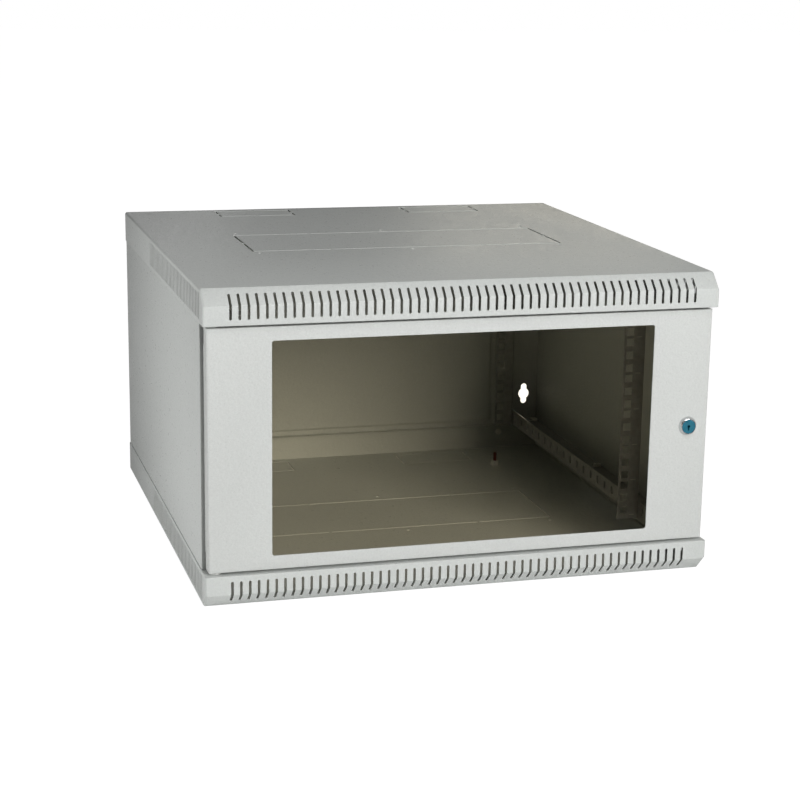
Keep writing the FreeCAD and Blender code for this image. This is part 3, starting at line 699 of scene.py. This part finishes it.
class CABINET_OT_rails(bpy.types.Operator):
    """Softens the edges of the uprights and depth rails"""
    bl_idname = "cabinet.rails"
    bl_label = "Rails"

    def execute(self, context):
        sizes = context.scene.cabinet_sizes
        for node in SLOT_OF:
            if node.startswith(("rail_front", "rail_rear", "depth_rail")):
                dress(node, node + "_steel", fold=sizes.fold_radius, edge=sizes.edge_radius)
        return {"FINISHED"}


class CABINET_OT_fasteners(bpy.types.Operator):
    """Screws, nuts and the ground point"""
    bl_idname = "cabinet.fasteners"
    bl_label = "Fasteners"

    def execute(self, context):
        for node in ("body_screws", "body_nuts", "rail_nuts", "ground_nut"):
            dress(node, node + "_plated", edge=0.35 * MM)
        for node, axis in (("rear_panel_screws", 1), ("rail_screws", 0)):
            screws = [pan_screw(node, low, high, axis) for low, high in solid_boxes(node)]
            add_piece(node + "_plated", joined(node, screws), node)
        self.ground_point(context.scene.cabinet_sizes.thread_pitch)
        return {"FINISHED"}

    def ground_point(self, pitch):
        """Washer and threaded stud on the floor."""
        low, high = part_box("ground_washer")
        play = 0.1
        radius = (high[0] - low[0]) / 2 / MM
        bore = (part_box("ground_stud")[1][0] - node_middle("ground_stud").x) / MM + play
        foot = node_middle("ground_washer")
        foot.z = low[2]
        profile = rounded_ring(bore, radius, (high[2] - low[2]) / MM)
        washer = turned("ground_washer", profile, foot, (0, 0, 1))
        add_piece("ground_washer_plated", washer, "ground_washer")
        stud = threaded("ground_thread", *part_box("ground_stud"), pitch)
        add_piece("ground_stud_thread", stud, "ground_stud")


class CABINET_OT_door(bpy.types.Operator):
    """Door, glass and tape"""
    bl_idname = "cabinet.door"
    bl_label = "Door"

    def execute(self, context):
        sizes = context.scene.cabinet_sizes
        dress("door_shell", "door_skin", fold=sizes.bend_radius, edge=sizes.edge_radius)
        dress("door_tape", "door_tape_strip", edge=0.15 * MM)
        dress("door_glass", "door_glass_pane", edge=0.4 * MM)
        return {"FINISHED"}


class CABINET_OT_hinges(bpy.types.Operator):
    """Pins, brackets, washer and the coil spring"""
    bl_idname = "cabinet.hinges"
    bl_label = "Hinges"

    def execute(self, context):
        sizes = context.scene.cabinet_sizes
        for node in ("hinge_bracket_bottom", "hinge_bracket_top", "hinge_pin_bottom",
                     "hinge_washer", "hinge_pin_top"):
            dress(node, node + "_steel", edge=0.25 * MM)
        low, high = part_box("hinge_spring")
        middle = node_middle("hinge_spring")
        wire = sizes.spring_wire
        radius = (high[0] - low[0] - wire) / 2
        mesh = coil("hinge_coil", middle, low[2], high[2], radius, wire, sizes.spring_turns)
        spring = add_piece("hinge_coil", mesh, "hinge_spring")
        1 - PIN_TRAVEL / (high[2] - low[2])
        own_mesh(spring)
        return {"FINISHED"}


class CABINET_OT_lock(bpy.types.Operator):
    """Chrome bezel, key face, nut and cam"""
    bl_idname = "cabinet.lock"
    bl_label = "Lock"

    def execute(self, context):
        low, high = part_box("lock_barrel")
        centre = node_middle("lock_barrel")
        centre.y = low[1]
        length = (high[1] - low[1]) / MM
        bore, barrel, rim, flange = 6.15, 9.0, 11.25, 4.0
        # Profile of bezel and barrel in millimetres: (radius, distance behind the bezel's front).
        profile = [(bore, 1.3), (8.35, 1.3), (8.45, 0.35), (8.6, 0.05), (8.85, 0.0), (9.15, 0.12),
                   (11.0, 3.35), (11.2, 3.75), (rim, flange), (barrel, flange),
                   (barrel, length - 0.4), (barrel - 0.4, length), (bore, length)]
        bezel = turned("lock_bezel", profile, centre, (0, 1, 0), segments=96)
        add_piece("lock_bezel", bezel, "lock_barrel")
        dress("lock_plug", "lock_key_face", edge=0.12 * MM)
        for node in ("lock_nut", "lock_cam", "lock_cam_screw"):
            dress(node, node + "_plated", edge=0.3 * MM)
        return {"FINISHED"}


class CABINET_OT_stage(bpy.types.Operator):
    """Pale floor, soft studio light and the camera"""
    bl_idname = "cabinet.stage"
    bl_label = "Stage"

    def execute(self, context):
        make_floor()
        make_world()
        make_lights()
        make_camera()
        context.scene.view_settings.view_transform = "Standard"
        return {"FINISHED"}


# ---- Stage ---------------------------------------------------------------------------------------
def seen_share(nodes):
    """1 for rays that look from the camera or through glass, and a dim share for reflections."""
    camera, through, mirrored = (nodes.node("ShaderNodeLightPath", output=f"Is {kind} Ray")
                                 for kind in ("Camera", "Transmission", "Glossy"))
    return (camera + through + mirrored * REFLECTED).least(1.0)


def flat_sheet(name, low, high):
    """Level rectangle between two opposite corners, facing up."""
    grid = np.array([[(low[0], low[1], low[2]), (low[0], high[1], low[2])],
                     [(high[0], low[1], low[2]), (high[0], high[1], low[2])]])
    mesh = surface_mesh(name, grid, 1, 1)
    sheet = bpy.data.objects.new(name, mesh)
    bpy.context.scene.collection.objects.link(sheet)
    sheet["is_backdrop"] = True
    return sheet


def make_floor():
    """White floor with a faint shadow, dark under the cabinet, and with a patch of painted light far
    behind it that glows brighter than the rest.
    """
    reach = 12.0
    low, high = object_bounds()
    floor = flat_sheet("floor", (-reach, -reach, low[2]), (reach, reach, low[2]))
    pale = Finish("pale_floor")
    pale.set(Base_Color=(0.9, 0.9, 0.9), Roughness=0.9, Specular_IOR_Level=0.0)
    across, along = pale.axis("X"), pale.axis("Y")
    # Painted light: a rectangle of floor that glows brighter than the rest, so that it still shows
    # white through the glass and the wall keyhole.
    painted_glow_patch = (along > 0.45) * (along < 0.85) * (across > 0.25) * (across < 0.55)
    glow = pale.node("ShaderNodeEmission", values={
        "Strength": 1.7, "Color": pale.mix(painted_glow_patch, (0.67, 0.67, 0.67), (1.0, 1.0, 1.0))})
    rim, toe = 4.0 * MM, 22.0 * MM
    under = (abs(across) < high[0] - rim) * (along > low[1] + toe) * (along < high[1] - rim)
    glowing = 0.88               # the rest is lit by the lamps and so keeps the shadow
    pale.show(pale.blend(seen_share(pale) * glowing * (1.0 - under), pale.surface, glow))
    floor.data.materials.append(pale.material)


def make_world():
    """White surroundings to look at, dimmer ones to light by."""
    world = bpy.data.worlds.new("studio")
    bpy.context.scene.world = world
    world.use_nodes = True
    studio = Nodes(world.node_tree, "ShaderNodeOutputWorld")
    fill, backdrop = (studio.node("ShaderNodeBackground",
                                  values={"Color": (1.0, 1.0, 1.0), "Strength": strength})
                      for strength in (0.01, 1.0))
    studio.show(studio.blend(seen_share(studio), fill, backdrop))


def soft_light(name, place, aim, size, power, colour=(1.0, 1.0, 1.0)):
    """Square area lamp that looks at a point."""
    lamp = bpy.data.lights.new(name, "AREA")
    lamp.color = colour
    lamp.size = size
    lamp.energy = power
    holder = bpy.data.objects.new(name, lamp)
    bpy.context.scene.collection.objects.link(holder)
    holder.location = place
    holder.visible_camera = False
    holder.rotation_euler = (Vector(aim) - Vector(place)).to_track_quat("-Z", "Y").to_euler()


def make_lights():
    """A broad, distant key from the front right, and weaker lamps at the left, above and behind."""
    cabinet = (0.0, 0.0, 0.15)
    roof = (0.0, 0.0, 0.36)
    left_side = (-0.3, -0.12, 0.2)
    soft_light("key_light", (1.60, -5.80, 2.35), cabinet, 2.8, 266.0)
    soft_light("near_left_light", (-1.0, -0.16, 0.3), left_side, 0.3, 2.3)
    soft_light("left_light", (-1.6, -0.25, 0.5), left_side, 0.5, 1.5)
    soft_light("top_light", (0.1, -1.5, 2.1), roof, 1.2, 16.5)
    soft_light("sheen_light", (1.6, 3.6, 0.9), roof, 1.0, 4.6, (1.0, 0.95, 0.80))
    soft_light("back_light", (0.0, 3.8, 1.0), roof, 1.0, 2.5)


def make_camera():
    """Three-quarter view from the front left, a little above."""
    lens = bpy.data.cameras.new("camera")
    lens.sensor_width = 36.0
    lens.lens = 86.763
    lens.shift_x = -0.042
    lens.shift_y = 0.029
    lens.clip_end = 50.0
    camera = bpy.data.objects.new("camera", lens)
    bpy.context.scene.collection.objects.link(camera)
    camera.location = (-0.6481, -2.3008, 0.7354)
    camera.rotation_euler = Euler([math.radians(turn) for turn in (75.674, -1.097, -16.602)])
    bpy.context.scene.camera = camera


# ---- Panel and registration ----------------------------------------------------------------------
class CABINET_PT_panel(bpy.types.Panel):
    """Lists the cabinet's sizes, colours and operators in the sidebar"""
    bl_idname = "CABINET_PT_panel"
    bl_label = "Cabinet"
    bl_space_type = "VIEW_3D"
    bl_region_type = "UI"
    bl_category = "Cabinet"

    def draw(self, context):
        for group in (context.scene.cabinet_sizes, context.scene.cabinet_colours):
            for name in group.__annotations__:
                self.layout.prop(group, name)
        for operator in OPERATORS:
            self.layout.operator(operator.bl_idname)


OPERATORS = (CABINET_OT_finishes, CABINET_OT_shell, CABINET_OT_rails, CABINET_OT_fasteners,
             CABINET_OT_door, CABINET_OT_hinges, CABINET_OT_lock, CABINET_OT_stage)
CLASSES = (CabinetSizes, CabinetColours) + OPERATORS + (CABINET_PT_panel,)


def register():
    for one in CLASSES:
        bpy.utils.register_class(one)
    bpy.types.Scene.cabinet_sizes = bpy.props.PointerProperty(type=CabinetSizes)
    bpy.types.Scene.cabinet_colours = bpy.props.PointerProperty(type=CabinetColours)


def unregister():
    del bpy.types.Scene.cabinet_colours
    del bpy.types.Scene.cabinet_sizes
    for one in reversed(CLASSES):
        bpy.utils.unregister_class(one)


def main():
    register()
    for operator in OPERATORS:
        group, action = operator.bl_idname.split(".")
        getattr(getattr(bpy.ops, group), action)()


if __name__ == "__main__":
    main()
